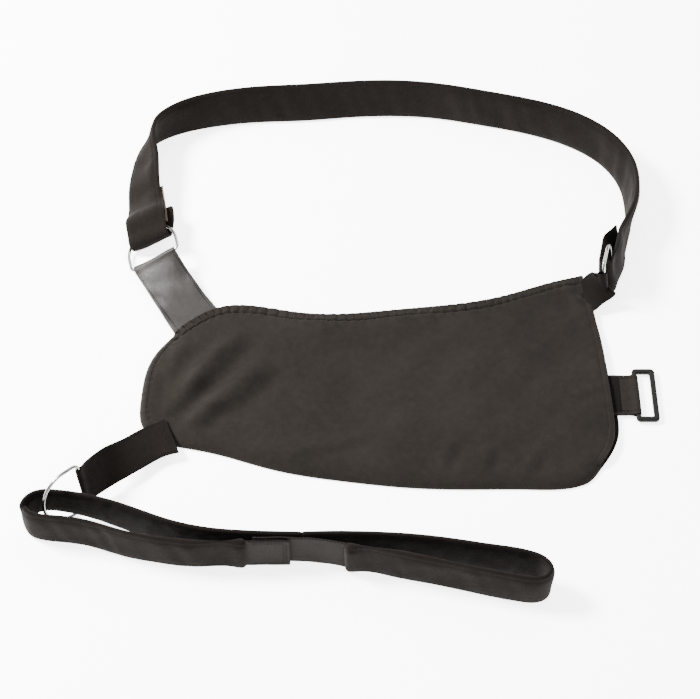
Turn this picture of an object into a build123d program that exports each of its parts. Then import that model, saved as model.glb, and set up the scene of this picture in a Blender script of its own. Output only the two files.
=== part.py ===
from build123d import *
import math
import os

# Forearm sling with a shoulder strap and a waist strap, laid out flat. Millimetres.
# The pouch lies on Z = 0 with its mouth towards +Y, its elbow end at -X and its hand end at +X.
# The straps stand on edge around it, as stiff padded straps do.

os.makedirs("parts", exist_ok=True)

# Cloth and webbing
CLOTH = 1.6          # hemmed pouch cloth
POUCH_H = 8.6        # pouch, back layer and front layer together
PLY = 1.2            # one layer of tab webbing
DOUBLE = 2 * PLY
HEM_W = 6.0          # gathered hem at the mouth
BINDING_W = 5.0      # hem at the hand end, binding at the elbow
HEM_T = 0.8
CLEAR = 0.4          # gap between pieces that move apart

# Padded straps
STRAP_W = 42.0       # shoulder strap
WAIST_W = 40.0       # waist strap
STRAP_T = 6.0        # padded sleeve, outside
SLEEVE = 0.8         # sleeve cloth
TAIL_T = 3.0         # unpadded, stitched strap end
HOOK_T = 1.0         # hook tape
MAIN = 16.0          # unpadded end, along the padded strap
LAP = 46.0           # unpadded end, folded back
TAPE_L = 15.0        # hook tape, along the strap
TAPE_EDGE = 4.0      # from the tape to the edges of the strap
NOTCH_L = 46.0       # cut-out that lets the waist ring pass under the padding
NOTCH_W = 16.0
NOTCH_TOP = 9.4

# Webbing tabs
TAB_W = 46.0         # left shoulder tab
RIGHT_TAB_W = 42.0   # right shoulder tab, at its ring
WAIST_TAB_W = 40.0
REACH = 12.0         # from a ring's bar to where the two plies meet
SHORT_REACH = 8.0
CROTCH = 3.0         # the opening round a bar ends this far before the plies meet
WAIST_HINGE_Y = -122.0

# D-rings
WIRE = 1.5           # wire radius
RING_W = 50.0        # inside, along the bar
RING_D = 38.0        # inside, bar to bow
RING_CORNER = 5.0
BOW = RING_W / 2 + WIRE
TAIL_BEND = 4.5      # inside radius of the strap end round the bow
TAIL_AT = {"left": 22.0, "right": 8.0}  # closed end of the strap fold, from the bar

# Rectangular loop for the free end of the waist strap
LOOP_W = 60.0
LOOP_L = 21.5
LOOP_T = 4.0
LOOP_END = 5.0       # end bars
LOOP_BAR = 2.1       # radius of the bar in the webbing
LOOP_CORNER = 4.0
SLOT_CORNER = 1.5
BAR_OVERLAP = 1.0    # the bar runs this far into each side
LOOP_WEB = 46.0
BUCKLE_REACH = 20.0
BUCKLE_ROOT = 30.0   # webbing sewn between the layers
LOOP_Y = -57.0
LOOP_X = 266.2


def unit(x, y, z):
    return Vector(x, y, z).normalized()


def save(part, name):
    part.label = name
    export_step(part, "parts/" + name + ".step")


# ---------------------------------------------------------------- frames of the rings
# Each ring's plane: X runs along the bar, Y from the bar to the bow, Z across the ring.
def ring_frame(center, bar, depth):
    bar = unit(*bar)
    depth = (Vector(*depth) - bar * bar.dot(Vector(*depth))).normalized()
    return Plane(origin=center, x_dir=bar, z_dir=bar.cross(depth))


LEFT = ring_frame((-190, 98, 16.8), (0.868, 0.222, 0.444), (-0.248, 0.969, 0))
RIGHT = ring_frame((244, 58, 28.4), (0.14, -0.035, -0.989), (0.242, 0.970, 0))
WAIST = ring_frame((-236, -174, 28.2), (-0.10, 0.15, 0.98), (-0.75, -0.66, 0))


def at(frame, x, y, z):
    return frame.from_local_coords(Vector(x, y, z))


def d_ring(frame):
    """Welded D of round wire."""
    side = RING_D - RING_W / 2
    half = BOW - RING_CORNER
    with BuildPart() as ring:
        with BuildSketch(Plane(origin=at(frame, -half, 0, 0), z_dir=frame.x_dir)):
            Circle(WIRE)
        extrude(amount=2 * half)
        for s in (-1, 1):
            with BuildSketch(Plane(origin=at(frame, s * half, 0, 0), z_dir=frame.x_dir)):
                Circle(WIRE)
            corner = Axis(at(frame, s * half, RING_CORNER, 0), frame.z_dir * s)
            revolve(axis=corner, revolution_arc=90)
            with BuildSketch(Plane(origin=at(frame, s * BOW, RING_CORNER, 0), z_dir=frame.y_dir)):
                Circle(WIRE)
            extrude(amount=side - RING_CORNER + WIRE)
        with BuildSketch(Plane(origin=at(frame, BOW, side + WIRE, 0), z_dir=frame.y_dir)):
            Circle(WIRE)
        revolve(axis=Axis(at(frame, 0, side + WIRE, 0), frame.z_dir), revolution_arc=180)
    return ring.part


def across(frame, width):
    """Plane for a profile of depth and height, ready to extrude the given width along the bar."""
    return Plane(origin=at(frame, -width / 2, 0, 0), x_dir=frame.y_dir, z_dir=frame.x_dir)


def bar_fold(frame, width, bend, reach, back=0.0):
    """Two plies of webbing folded round a bar, stitched together from reach onwards."""
    outer = bend + PLY
    stem = [(-reach - back, PLY), (-reach - back, -PLY)]
    if back:
        stem = [(-reach, PLY)] + stem + [(-reach, -PLY)]
    with BuildPart() as fold:
        with BuildSketch(across(frame, width)):
            with BuildLine():
                Polyline((0, outer), *stem, (0, -outer))
                ThreePointArc((0, -outer), (outer, 0), (0, outer))
            make_face()
            with BuildLine():
                Polyline((0, bend), (-reach + CROTCH, 0), (0, -bend))
                ThreePointArc((0, -bend), (bend, 0), (0, bend))
            make_face(mode=Mode.SUBTRACT)
        extrude(amount=width)
    return fold.part


def tail_fold(frame, width, main, lap, closed_end):
    """Strap end that goes over the bow, round it and back along itself."""
    inner = TAIL_BEND
    outer = TAIL_BEND + TAIL_T
    mid = closed_end + outer
    with BuildPart() as tail:
        with BuildSketch(across(frame, width)):
            with BuildLine():
                Polyline((mid, outer), (mid + main, outer), (mid + main, inner), (mid, inner))
                ThreePointArc((mid, inner), (mid - inner, 0), (mid, -inner))
                Polyline((mid, -inner), (mid + lap, -inner), (mid + lap, -outer), (mid, -outer))
                ThreePointArc((mid, -outer), (mid - outer, 0), (mid, outer))
            make_face()
        extrude(amount=width)
    return tail.part


def tape(frame, width, start, length, level):
    """Strip of hook tape on the lap."""
    with BuildPart() as strip:
        with BuildSketch(across(frame, width)):
            with Locations((start + length / 2, level)):
                Rectangle(length, HOOK_T)
        extrude(amount=width)
    return strip.part


# ---------------------------------------------------------------- straps along a path
def heading(points, i):
    before = points[max(i - 1, 0)]
    after = points[min(i + 1, len(points) - 1)]
    return unit(after[0] - before[0], after[1] - before[1], 0)


def beside(points, distance):
    """The points moved to the left of their own direction."""
    moved = []
    for i, (x, y) in enumerate(points):
        along = heading(points, i)
        moved.append((x - along.Y * distance, y + along.X * distance))
    return moved


def ribbon(points, thick, low, high):
    """Strap standing on edge along the points."""
    left = beside(points, thick / 2)
    right = beside(points, -thick / 2)
    with BuildPart() as strip:
        with BuildSketch(Plane.XY.offset(low)):
            with BuildLine():
                Spline(*left)
                Line(left[-1], right[-1])
                Spline(*reversed(right))
                Line(right[0], left[0])
            make_face()
        extrude(amount=high - low)
    return strip.part


def shortened(points, length):
    """The same path with both ends drawn in."""
    first = heading(points, 0)
    last = heading(points, len(points) - 1)
    start = (points[0][0] + first.X * length, points[0][1] + first.Y * length)
    end = (points[-1][0] - last.X * length, points[-1][1] - last.Y * length)
    return [start] + points[1:-1] + [end]


def twisted(sections, width, thick):
    """Strap of one thickness through (centre, along, up)."""
    with BuildPart() as strip:
        for center, along, up in sections:
            with BuildSketch(Plane(origin=center, x_dir=up, z_dir=along)):
                Rectangle(width, thick)
        loft(ruled=True)
    return strip.part


def sleeve_and_foam(outside, foam, name):
    with BuildPart() as sleeve:
        add(outside)
        add(foam, mode=Mode.SUBTRACT)
    save(sleeve.part, name + "_sleeve")
    save(foam, name + "_foam")


# ---------------------------------------------------------------- pouch
MOUTH = [(-168, 14), (-124, 45), (-48, 38), (48, 42), (146, 58), (226, 86)]
ELBOW = [(-165, -112), (-190, -92), (-194, -60), (-186, -12), (-168, 14)]
BOTTOM = [(206, -161), (90, -161), (0, -154), (-72, -136), (-165, -112)]
HAND_FRONT = [(226, 86), (235, 28), (236, -100)]
HAND_BACK = [(226, 86), (235, 28), (238, -40), (242, -100)]
FLAP_START = (-168, 14)
FLAP_END = (206, -161)


def layer(hand, bottom_z):
    with BuildPart() as cloth:
        with BuildSketch(Plane.XY.offset(bottom_z)):
            with BuildLine():
                Spline(*MOUTH)
                Spline(*hand)
                Spline(hand[-1], (hand[-1][0] - 8, -146), BOTTOM[0])
                Spline(*BOTTOM)
                Spline(*ELBOW)
            make_face()
        extrude(amount=CLOTH)
    return cloth.part


save(layer(HAND_BACK, 0), "pouch_back_panel")
front = layer(HAND_FRONT, POUCH_H - CLOTH)

# The front layer lifts from the back along the diagonal from the elbow to the lower hand corner.
diagonal = unit(FLAP_END[0] - FLAP_START[0], FLAP_END[1] - FLAP_START[1], 0)
lifting = Vector(-diagonal.Y, diagonal.X, 0)


def side_of_diagonal(part, gap):
    with BuildPart() as piece:
        add(part)
        origin = Vector(*FLAP_START, 0) + lifting * gap
        split(bisect_by=Plane(origin=origin, z_dir=lifting), keep=Keep.TOP if gap > 0 else Keep.BOTTOM)
    return piece.part


save(side_of_diagonal(front, CLEAR), "pouch_front_flap")
save(side_of_diagonal(front, -CLEAR), "pouch_front_panel")


def edge_strip(points, width, low, high, name):
    """Strip of cloth along an edge, on the left of the points' direction."""
    save(ribbon(beside(points, width / 2), width, low, high), name)


INSIDE = (CLOTH, POUCH_H - CLOTH)
TOP = (POUCH_H, POUCH_H + HEM_T)
edge_strip([(-160, -111), (-72, -135), (0, -153), (90, -160), (196, -160)], CLOTH, *INSIDE,
           "pouch_bottom_fold")
edge_strip([(-170, 4), (-186, -14), (-193, -60), (-188, -91), (-164, -109)], CLOTH, *INSIDE,
           "elbow_seam")
edge_strip([(-168, 11), (-177, 0), (-184.5, -14), (-190.5, -45), (-191.8, -74)], 5, *TOP,
           "elbow_binding")
edge_strip([(225, 84.5), (146, 57), (48, 41), (-48, 37), (-124, 43.5), (-160, 21)], HEM_W, *TOP,
           "mouth_hem_front")
edge_strip([(224, 84), (146, 57), (48, 41), (-48, 37), (-118, 43)], HEM_W, CLOTH, CLOTH + HEM_T,
           "mouth_hem_back")
edge_strip([(234, -104), (234.5, 28), (227.5, 74)], 5, *TOP, "hand_hem")

# ---------------------------------------------------------------- webbing tabs
def tab(sections, thick, fold, ruled=False):
    """Double webbing lofted through (centre, width direction, width)."""
    with BuildPart() as web:
        for i, (center, across_dir, width) in enumerate(sections):
            before = Vector(*sections[max(i - 1, 0)][0])
            after = Vector(*sections[min(i + 1, len(sections) - 1)][0])
            wide = unit(*across_dir)
            along = after - before
            along = (along - wide * wide.dot(along)).normalized()
            with BuildSketch(Plane(origin=center, x_dir=wide, z_dir=along)):
                Rectangle(width, thick)
        loft(ruled=ruled)
        add(fold)
    return web.part


def bar_end(frame, reach, width):
    """Last section of a tab, where its stitched plies open round the bar."""
    return (tuple(at(frame, 0, -reach, 0)), tuple(frame.x_dir), width)


# Left shoulder tab: its root is sewn between the layers, under the mouth hem.
with BuildPart() as left_root:
    with BuildSketch(Plane(origin=(-140, 19, 2.8), x_dir=(0.84, 0.54, 0))):
        Rectangle(TAB_W, 13)
    extrude(amount=DOUBLE)
save(left_root.part, "shoulder_tab_left_root")
LEFT_TAB = [((-152.0, 37.5, 6.0), (0.84, 0.54, 0.0), TAB_W),
            ((-166.0, 62.0, 10.5), (0.86, 0.45, 0.22), TAB_W),
            bar_end(LEFT, REACH, TAB_W)]
save(tab(LEFT_TAB, DOUBLE, bar_fold(LEFT, TAB_W, WIRE + CLEAR, REACH)), "shoulder_tab_left")

# Right shoulder tab: short, and turned on edge by the strap.
with BuildPart() as right_root:
    with BuildSketch(Plane(origin=(224, 56, 2.8), x_dir=(0.14, -0.99, 0))):
        Rectangle(40, 20)
    extrude(amount=DOUBLE)
save(right_root.part, "shoulder_tab_right_root")
RIGHT_TAB = [((237.0, 45.0, 21.0), (0.10, -0.30, -0.95), 38.0),
             bar_end(RIGHT, SHORT_REACH, RIGHT_TAB_W)]
right_fold = bar_fold(RIGHT, RIGHT_TAB_W, WIRE + CLEAR, SHORT_REACH)
save(tab(RIGHT_TAB, DOUBLE, right_fold), "shoulder_tab_right")

# Waist tab: sewn on top of the lower elbow corner. It lies flat across its fold line, then turns
# on edge towards its ring.
WAIST_TAB = [((-162, -99, 11.0), (-0.26, 0.966, 0), WAIST_TAB_W),
             ((-184, -113, 11.6), (-0.42, 0.907, 0), WAIST_TAB_W),
             ((-207, -138, 13.5), (-0.60, 0.80, 0), WAIST_TAB_W),
             bar_end(WAIST, REACH, WAIST_TAB_W)]
waist_web = tab(WAIST_TAB, DOUBLE, bar_fold(WAIST, WAIST_TAB_W, WIRE + CLEAR, REACH), ruled=True)
HALF_CUT = 0.3       # the two parts of the tab stand apart by twice this at the fold line
for name, gap, keep in (("waist_tab_root", HALF_CUT, Keep.TOP), ("waist_tab", -HALF_CUT, Keep.BOTTOM)):
    with BuildPart() as half:
        add(waist_web)
        split(bisect_by=Plane(origin=(0, WAIST_HINGE_Y + gap, 0), z_dir=(0, 1, 0)), keep=keep)
    save(half.part, name)

# Buckle tab: doubled webbing from between the layers, round the bar of the loop.
BUCKLE = Plane(origin=(LOOP_X, LOOP_Y, 3.7), x_dir=(0, -1, 0), z_dir=(0, 0, 1))
save(bar_fold(BUCKLE, LOOP_WEB, LOOP_BAR + CLEAR, BUCKLE_REACH, BUCKLE_ROOT), "buckle_tab")

# ---------------------------------------------------------------- hardware
save(d_ring(LEFT), "shoulder_d_ring_left")
save(d_ring(RIGHT), "shoulder_d_ring_right")
save(d_ring(WAIST), "waist_d_ring")

with BuildPart() as loop:
    with BuildSketch(BUCKLE.offset(-LOOP_T / 2)):
        with Locations((0, LOOP_L / 2 - LOOP_BAR)):
            RectangleRounded(LOOP_W, LOOP_L, LOOP_CORNER)
        slot_l = LOOP_L - 2 * LOOP_BAR - LOOP_END
        with Locations((0, LOOP_BAR + slot_l / 2)):
            RectangleRounded(LOOP_W - 2 * LOOP_END, slot_l, SLOT_CORNER, mode=Mode.SUBTRACT)
        with Locations((0, 0)):
            Rectangle(LOOP_W - 2 * LOOP_END, 2 * LOOP_BAR, mode=Mode.SUBTRACT)
    extrude(amount=LOOP_T)
    bar_half = LOOP_W / 2 - LOOP_END + BAR_OVERLAP
    with BuildSketch(Plane(origin=at(BUCKLE, -bar_half, 0, 0), z_dir=BUCKLE.x_dir)):
        Circle(LOOP_BAR)
    extrude(amount=2 * bar_half)
save(loop.part, "buckle_loop")

# ---------------------------------------------------------------- shoulder strap
SHOULDER_PATH = [(-206, 270), (-180, 290), (-141, 301), (-94, 307), (-50, 310), (0, 314), (42, 315),
                 (88, 312), (136, 302), (190, 289), (234, 269), (264, 242), (279, 208), (281, 176),
                 (277, 147), (270, 116), (260.2, 89.6)]
LEFT_TWIST = [(-226, 200, 47), (-225, 226, 38), (-217, 252, 20)]  # position and lean in degrees
TWIST_ALONG = (unit(0, 1, 0), unit(0.15, 1, 0), unit(0.5, 1, 0))
FOAM_END = (262.6, 96)
FOAM_IN = 3.0        # the foam stops this far inside the ends of a sleeve
STRAIGHT = 25.0      # padded strap in line with its ring
MAIN_END = TAIL_AT["left"] + TAIL_BEND + TAIL_T + MAIN
TAPE_AT = BOW + RING_D - RING_W / 2 + 5  # clear of the swinging bow
TAIL_LEVEL = TAIL_BEND + STRAP_T / 2


def standing(x, y, lean, along, width):
    """Section of a strap whose lower edge touches the ground and which leans to its right."""
    a = math.radians(lean)
    up = Vector(along.Y, -along.X, 0) * math.sin(a) + Vector(0, 0, 1) * math.cos(a)
    rise = Vector(0, 0, abs(math.sin(a)) * STRAP_T / 2)
    return (Vector(x, y, 0) + up * (width / 2) + rise, along, up)


def left_sections(path, start):
    """From the strap end at the left ring to the first point of the path."""
    sections = [(at(LEFT, 0, MAIN_END + start, TAIL_LEVEL), LEFT.y_dir, LEFT.x_dir),
                (at(LEFT, 0, MAIN_END + STRAIGHT, TAIL_LEVEL), LEFT.y_dir, LEFT.x_dir)]
    for (x, y, lean), along in zip(LEFT_TWIST, TWIST_ALONG):
        sections.append(standing(x, y, lean, along, STRAP_W))
    sections.append(standing(*path[0], 0, heading(path, 0), STRAP_W))
    return sections


with BuildPart() as shoulder_outside:
    add(ribbon(SHOULDER_PATH, STRAP_T, 0, STRAP_W))
    add(twisted(left_sections(SHOULDER_PATH, 0), STRAP_W, STRAP_T))
foam_path = SHOULDER_PATH[:-1] + [FOAM_END]
with BuildPart() as shoulder_foam:
    add(ribbon(foam_path, STRAP_T - 2 * SLEEVE, SLEEVE, STRAP_W - SLEEVE))
    add(twisted(left_sections(foam_path, FOAM_IN), STRAP_W - 2 * SLEEVE, STRAP_T - 2 * SLEEVE))
sleeve_and_foam(shoulder_outside.part, shoulder_foam.part, "shoulder")

for frame, side in ((LEFT, "left"), (RIGHT, "right")):
    save(tail_fold(frame, STRAP_W, MAIN, LAP, TAIL_AT[side]), "shoulder_tail_" + side)
    save(tape(frame, STRAP_W - 2 * TAPE_EDGE, TAPE_AT, TAPE_L, -TAIL_BEND + HOOK_T / 2), "hook_tape_" + side)

# ---------------------------------------------------------------- waist strap
# A long flat loop through the waist ring, closed by hook tape at the middle of its front.
LEFT_LOOP = [(-42, -230.5), (-90, -229.5), (-125, -226), (-160, -217), (-195, -203), (-230, -192),
             (-258, -187.5), (-273, -188), (-282, -194), (-284, -201), (-280, -208), (-266, -213),
             (-235, -217), (-200, -228), (-165, -236), (-130, -239.5), (-90, -239)]
RIGHT_LOOP = [(-6, -243), (30, -248), (75, -258), (120, -269), (146, -274.6), (160, -275.5),
              (168, -272), (171, -265), (167, -257), (154, -250), (120, -243), (75, -235.5),
              (25, -231), (-20, -230.3), (-41, -230.5)]
NOTCH_AT = (-261, -188)
with BuildPart() as notch:
    with BuildSketch(Plane.XY):
        with Locations(NOTCH_AT):
            Rectangle(NOTCH_L, NOTCH_W)
    extrude(amount=NOTCH_TOP)
for path, name in ((LEFT_LOOP, "waist_left"), (RIGHT_LOOP, "waist_right")):
    with BuildPart() as outside:
        add(ribbon(path, STRAP_T, 0, WAIST_W))
        add(notch.part, mode=Mode.SUBTRACT)
    with BuildPart() as foam:
        add(ribbon(shortened(path, FOAM_IN), STRAP_T - 2 * SLEEVE, SLEEVE, WAIST_W - SLEEVE))
        add(notch.part.moved(Location((0, 0, SLEEVE))), mode=Mode.SUBTRACT)
    sleeve_and_foam(outside.part, foam.part, name)

# Unpadded ends: the right one runs behind, the left one closes over it with hook tape.
# Each end: name, start and end along X, its Y, thickness.
ENDS = (("waist_loop_end", -84.0, -6.5, -235.0, DOUBLE), ("waist_hook_end", -88.6, -55.0, -238.6, DOUBLE),
        ("waist_hook_patch", -84.0, -57.0, -236.8, HOOK_T))
STRIP_EDGE = 1.0     # the ends are this much narrower than the padding, on both edges
for name, x0, x1, y, thick in ENDS:
    with BuildPart() as strip:
        with BuildSketch(Plane.XY.offset(STRIP_EDGE)):
            with Locations(((x0 + x1) / 2, y)):
                Rectangle(x1 - x0, thick)
        extrude(amount=WAIST_W - 2 * STRIP_EDGE)
    save(strip.part, name)
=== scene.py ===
import math

import bmesh
import bpy
import numpy as np
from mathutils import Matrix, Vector


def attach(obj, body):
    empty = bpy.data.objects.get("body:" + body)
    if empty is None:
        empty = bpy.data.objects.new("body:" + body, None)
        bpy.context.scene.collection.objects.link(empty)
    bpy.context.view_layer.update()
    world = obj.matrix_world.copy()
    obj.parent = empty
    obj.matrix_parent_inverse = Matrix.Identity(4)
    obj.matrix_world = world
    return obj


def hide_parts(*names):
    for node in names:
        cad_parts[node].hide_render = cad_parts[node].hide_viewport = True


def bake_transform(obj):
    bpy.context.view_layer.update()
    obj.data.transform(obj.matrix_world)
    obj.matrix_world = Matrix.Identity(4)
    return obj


# Forearm sling laid out flat. Lengths in this script are millimetres until mesh() writes metres.
MM = 0.001
TURN = 2 * math.pi
QUARTER = math.pi / 2
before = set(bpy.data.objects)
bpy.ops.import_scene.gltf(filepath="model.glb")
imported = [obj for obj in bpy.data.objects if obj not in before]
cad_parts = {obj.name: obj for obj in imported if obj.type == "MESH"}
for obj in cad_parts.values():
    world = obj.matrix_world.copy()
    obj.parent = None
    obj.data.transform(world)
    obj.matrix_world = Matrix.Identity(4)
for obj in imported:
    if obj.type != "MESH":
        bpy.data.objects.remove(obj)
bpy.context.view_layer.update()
rng = np.random.default_rng(7)


# ---- small geometry tools
def arr(points):
    return np.array(points, float)


def norm(v):
    v = np.asarray(v, float)
    return v / np.maximum(np.linalg.norm(v, axis=-1, keepdims=True), 1e-9)


def natural_cubic(t, y, x):
    """Natural cubic spline through (t, y), read at x, column by column."""
    n = len(t)
    h = np.diff(t)
    a = np.zeros((n, n))
    b = np.zeros((n, y.shape[1]))
    a[0, 0] = a[-1, -1] = 1
    for i in range(1, n - 1):
        a[i, i - 1 : i + 2] = h[i - 1], 2 * (h[i - 1] + h[i]), h[i]
        b[i] = 6 * ((y[i + 1] - y[i]) / h[i] - (y[i] - y[i - 1]) / h[i - 1])
    m = np.linalg.solve(a, b)
    k = np.clip(np.searchsorted(t, x) - 1, 0, n - 2)
    d = h[k][:, None]
    lo = (t[k + 1] - x)[:, None]
    hi = (x - t[k])[:, None]
    return (
        m[k] * lo**3 / (6 * d)
        + m[k + 1] * hi**3 / (6 * d)
        + (y[k] / d - m[k] * d / 6) * lo
        + (y[k + 1] / d - m[k + 1] * d / 6) * hi
    )


def chord(points):
    return np.concatenate([[0], np.cumsum(np.linalg.norm(np.diff(points[:, :3], axis=0), axis=1))])


def resample(at, s, rows):
    """Rows read at the given places along, where s is the place of each row."""
    return np.stack([np.interp(at, s, rows[:, i]) for i in range(rows.shape[1])], 1)


FINE_PER_KNOT = 40


def smooth_line(knots, step):
    """Points about step apart on a cubic through the knots. Extra columns after x, y, z follow along."""
    knots = arr(knots)
    at = chord(knots)
    fine = natural_cubic(at, knots, np.linspace(0, at[-1], FINE_PER_KNOT * len(knots)))
    s = chord(fine)
    want = np.linspace(0, s[-1], max(3, int(round(s[-1] / step)) + 1))
    return resample(want, s, fine)


def frames(line):
    """Width and face directions along rows of centre x, y, z and width direction, square to the line."""
    forward = norm(np.gradient(line[:, :3], axis=0))
    wide = norm(line[:, 3:6])
    wide = norm(wide - forward * (wide * forward).sum(1)[:, None])
    return wide, np.cross(wide, forward)


class Waves:
    """Smooth random height over x, y: a sum of seeded sine waves about the given length."""

    def __init__(self, length, count=14):
        angle = rng.uniform(0, TURN, count)
        k = TURN / (length * rng.uniform(0.7, 1.6, count))
        self.kx = k * np.cos(angle)
        self.ky = k * np.sin(angle)
        self.phase = rng.uniform(0, TURN, count)
        self.scale = 1 / math.sqrt(count / 2)

    def __call__(self, x, y):
        x = np.asarray(x)[..., None]
        y = np.asarray(y)[..., None]
        return np.sin(self.kx * x + self.ky * y + self.phase).sum(-1) * self.scale


def bump(x, width):
    return np.exp(-((x / width) ** 2))


def fade(x, start, end):
    t = np.clip((x - start) / (end - start), 0, 1)
    return t * t * (3 - 2 * t)


# ---- meshes
def mesh(name, verts, faces, material, uv=None):
    data = bpy.data.meshes.new(name)
    data.from_pydata((np.asarray(verts) * MM).tolist(), [], [tuple(int(i) for i in f) for f in faces])
    if uv is not None:
        layer = data.uv_layers.new(name="cloth")
        loops = np.empty(len(data.loops), int)
        data.loops.foreach_get("vertex_index", loops)
        layer.data.foreach_set("uv", (np.asarray(uv) * MM)[loops].astype(np.float32).ravel())
    data.validate()
    b = bmesh.new()
    b.from_mesh(data)
    bmesh.ops.recalc_face_normals(b, faces=b.faces)
    for f in b.faces:
        f.smooth = True
    b.to_mesh(data)
    b.free()
    data.materials.append(material)
    obj = bpy.data.objects.new(name, data)
    bpy.context.scene.collection.objects.link(obj)
    return obj


def rings_mesh(name, rings, material, uv, closed=False):
    """Skin over an array of rings (count, points, 3), capped with a fan at both ends."""
    count, around, _ = rings.shape
    verts = rings.reshape(-1, 3)
    faces = []
    for i in range(count if closed else count - 1):
        j = (i + 1) % count
        for k in range(around):
            m = (k + 1) % around
            faces.append((i * around + k, i * around + m, j * around + m, j * around + k))
    uv = uv.reshape(-1, 2)
    if not closed:
        verts = np.vstack([verts, rings[0].mean(0), rings[-1].mean(0)])
        uv = np.vstack([uv, uv[:around].mean(0), uv[-around:].mean(0)])
        first = count * around
        for k in range(around):
            m = (k + 1) % around
            faces.append((first, m, k))
            faces.append((first + 1, first - around + k, first - around + m))
    return mesh(name, verts, faces, material, uv)


def section(around, power):
    """Rounded rectangle of unit half width and half thickness, as two columns."""
    a = np.linspace(0, TURN, around, endpoint=False)
    c, s = np.cos(a), np.sin(a)
    return np.sign(c) * np.abs(c) ** (2 / power), np.sign(s) * np.abs(s) ** (2 / power)


STRAP_AROUND = 44
STRAP_POWER = 3.4
# lengths of the faces' swell and of the fine unevenness, and its height
UPPER_SWELL = 46
LOWER_SWELL = 60
FINE_LENGTH = 15
SLEEVE_ROUGH = 0.12
# ridge of the seam, the groove inside it and how far in that lies
SEAM = 0.8
SEAM_GROOVE = 0.20
SEAM_IN = 3.4
# slant of a crease, and where the swell beside it is and how high
SLANT = 0.35
BESIDE = 2.2
BESIDE_SHARE = 0.6


def strap(name, knots, material, step, bulge, round_end, wrinkle):
    """Padded strap with a seam ridge along its upper edge.

    knots: rows of centre x, y, z, width direction x, y, z, width, thickness.
    bulge: how far the faces swell and sink along the strap.
    round_end: length over which each end closes like a pillow. wrinkle: (place along, depth, length) creases.
    """
    line = smooth_line(knots, step)
    centre = line[:, :3]
    wide, face = frames(line)
    s = chord(line)
    half_w, half_t = line[:, 6] / 2, line[:, 7] / 2
    x, y = section(STRAP_AROUND, STRAP_POWER)
    upper_waves, lower_waves, fine = Waves(UPPER_SWELL), Waves(LOWER_SWELL), Waves(FINE_LENGTH)
    rings = np.empty((len(s), STRAP_AROUND, 3))
    uv = np.empty((len(s), STRAP_AROUND, 2))
    edge_steps = np.hypot(np.diff(x) * half_w.mean(), np.diff(y) * half_t.mean())
    perimeter = np.concatenate([[0], np.cumsum(edge_steps)])
    flat = 1 - np.abs(x) ** 4
    for i in range(len(s)):
        w = x * half_w[i]
        t = y * half_t[i]
        swell = bulge * (upper_waves(s[i], w) * (y > 0) + lower_waves(s[i], w) * (y < 0)) * flat
        swell = swell + SLEEVE_ROUGH * fine(s[i] + 300 * (y > 0), w) * flat
        for place, depth, length in wrinkle:
            slant = s[i] - place + SLANT * w
            swell = swell - depth * bump(slant, length) * flat
            swell = swell + BESIDE_SHARE * depth * bump(slant - BESIDE * length, length) * flat
        t = t + np.sign(y) * swell
        # groove under the piping where the sleeve is closed along its upper edge
        t = t * (1 - SEAM_GROOVE * bump(w - half_w[i] + SEAM_IN, 1.1))
        w = w + SEAM * np.clip(x, 0, 1) ** 40
        close = 1.0
        for end, length in ((s[i], round_end[0]), (s[-1] - s[i], round_end[1])):
            if end < length:
                close *= math.sqrt(max(1 - (1 - end / length) ** 2, 0.0025))
        shrink_w = 1 - (1 - close) * min(1, half_t[i] * 1.2 / half_w[i])
        rings[i] = centre[i] + np.outer(w * shrink_w, wide[i]) + np.outer(t * close, face[i])
        uv[i, :, 0] = s[i]
        uv[i, :, 1] = perimeter
    return rings_mesh(name, rings, material, uv)


def wire_mesh(name, points, up):
    """Closed ring of round wire."""
    forward = norm(np.roll(points, -1, 0) - np.roll(points, 1, 0))
    side = norm(np.cross(forward, np.broadcast_to(up, forward.shape)))
    top = np.cross(side, forward)
    a = np.linspace(0, TURN, WIRE_AROUND, endpoint=False)
    circle = np.cos(a)[None, :, None] * side[:, None] + np.sin(a)[None, :, None] * top[:, None]
    uv = np.stack(np.broadcast_arrays(chord(points)[:, None], (a * WIRE)[None, :]), -1)
    return rings_mesh(name, points[:, None] + WIRE * circle, STEEL, uv, closed=True)


STITCH_AROUND = 6
STITCH_PITCH = 3.2
FINE_PITCH = 3.0
# shape of one stitch: places along half its length, and the thread's thickness there
STITCH_STATIONS = arr([-1, -0.8, -0.3, 0.3, 0.8, 1])
STITCH_SWELL = arr([0.15, 0.75, 1, 1, 0.75, 0.15])
# height of a stitch's middle, and how far its ends dip
STITCH_RISE = 0.22
STITCH_DIP = 0.35
AHEAD = 0.8


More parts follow.
